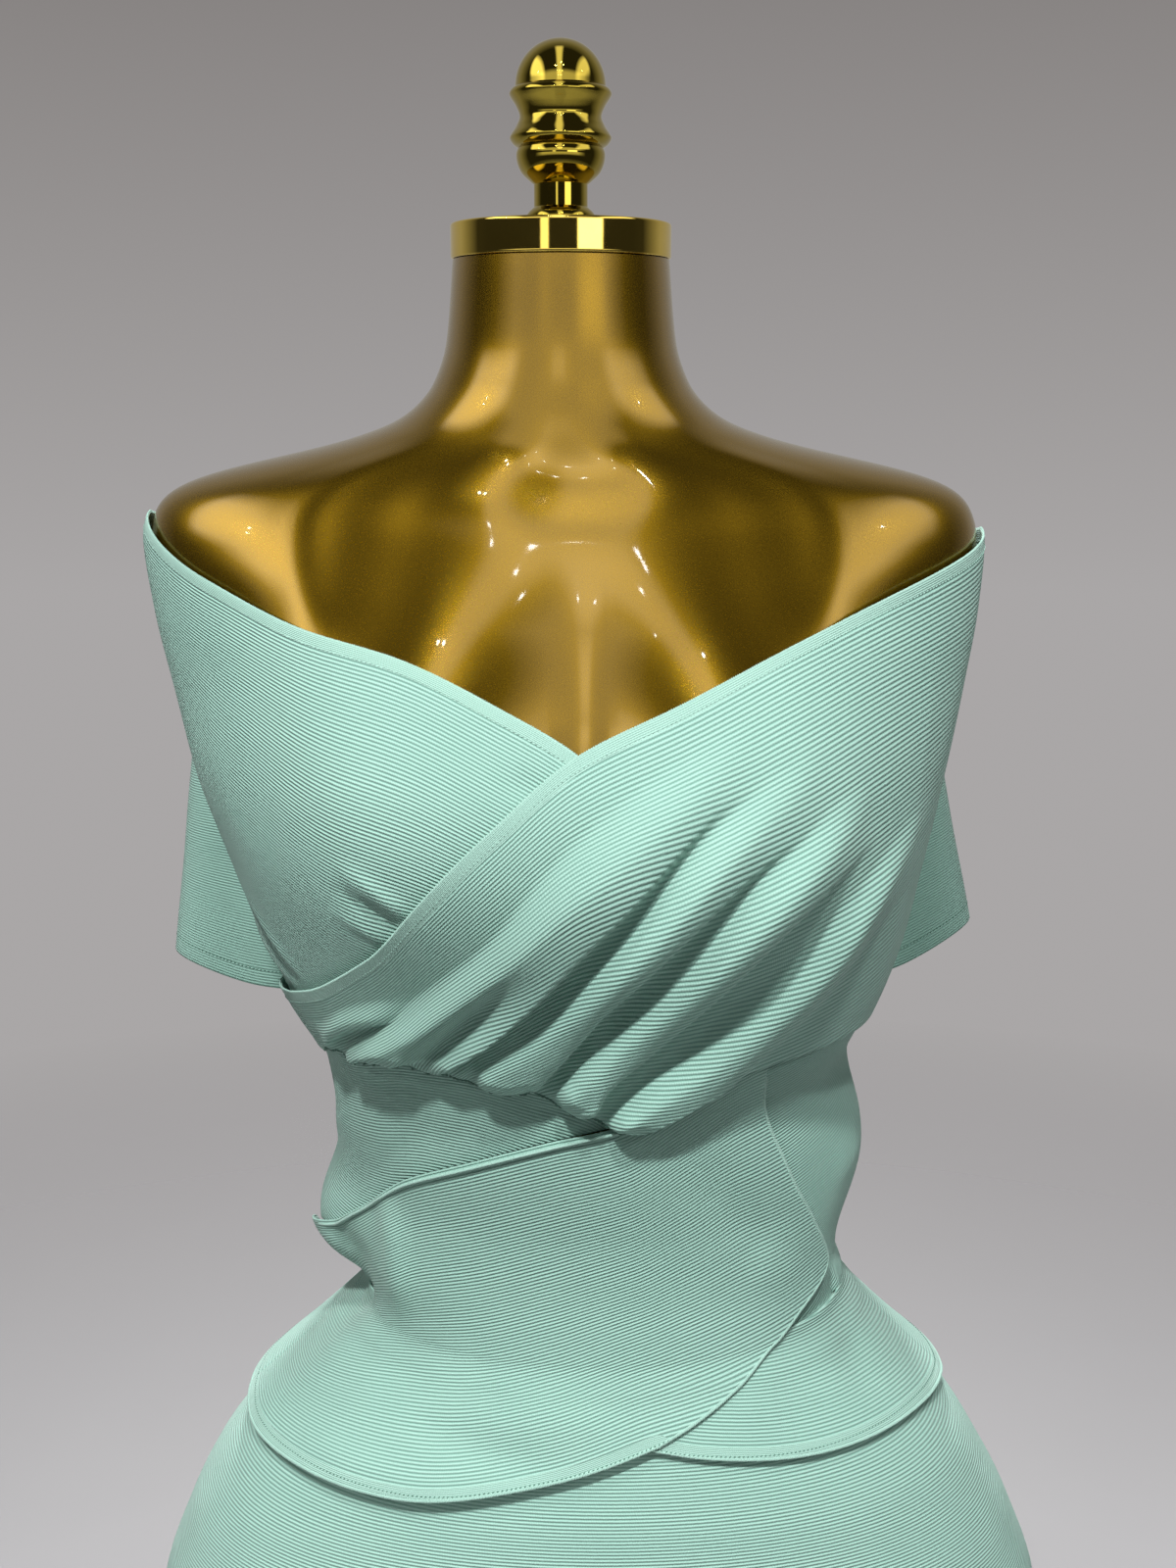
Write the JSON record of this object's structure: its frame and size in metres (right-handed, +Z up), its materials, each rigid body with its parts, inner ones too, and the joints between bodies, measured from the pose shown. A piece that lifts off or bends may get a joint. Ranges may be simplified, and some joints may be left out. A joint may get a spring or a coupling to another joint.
{
  "type": "bodycon dress on a dress form",
  "caption": "Off-the-shoulder ribbed bodycon dress with crossed gathered bodice, peplum and back bow, on a limbless gold dress form with turned finial and pole stand.",
  "frame": {"origin": "centre of the stand base's underside, on the pole's axis", "axes": "+Z up along the pole, -Y towards the front of the dress, +X to the right of a viewer who faces it"},
  "size_m": [0.4665, 0.3023, 1.6005],
  "materials": {
    "gold_plate": "polished gold plating",
    "gold_paint": "metallic gold paint under gloss lacquer",
    "mint_knit": "fine ribbed bandage knit",
    "mint_edge": "rolled chain-stitched edge"
  },
  "bodies": {
    "root": {"stand_base": "gold_plate", "stand_pole": "gold_plate", "form_torso": "gold_paint", "neck_cap": "gold_plate", "neck_finial": "gold_plate", "bodice_under_wrap": "mint_knit", "bodice_top_wrap": "mint_knit", "midriff_left": "mint_knit", "midriff_right": "mint_knit", "sash_front": "mint_knit", "sash_piping": "mint_edge", "peplum_under": "mint_knit", "peplum_back_right": "mint_knit", "peplum_back_left": "mint_knit", "bodice_back_right": "mint_knit", "bodice_back_left": "mint_knit", "back_band_right": "mint_knit", "back_band_left": "mint_knit", "skirt_front": "mint_knit", "skirt_back_right": "mint_knit", "skirt_back_left": "mint_knit", "bow_loop_right": "mint_knit", "bow_loop_left": "mint_knit", "bow_knot": "mint_knit"}
  },
  "joints": []
}
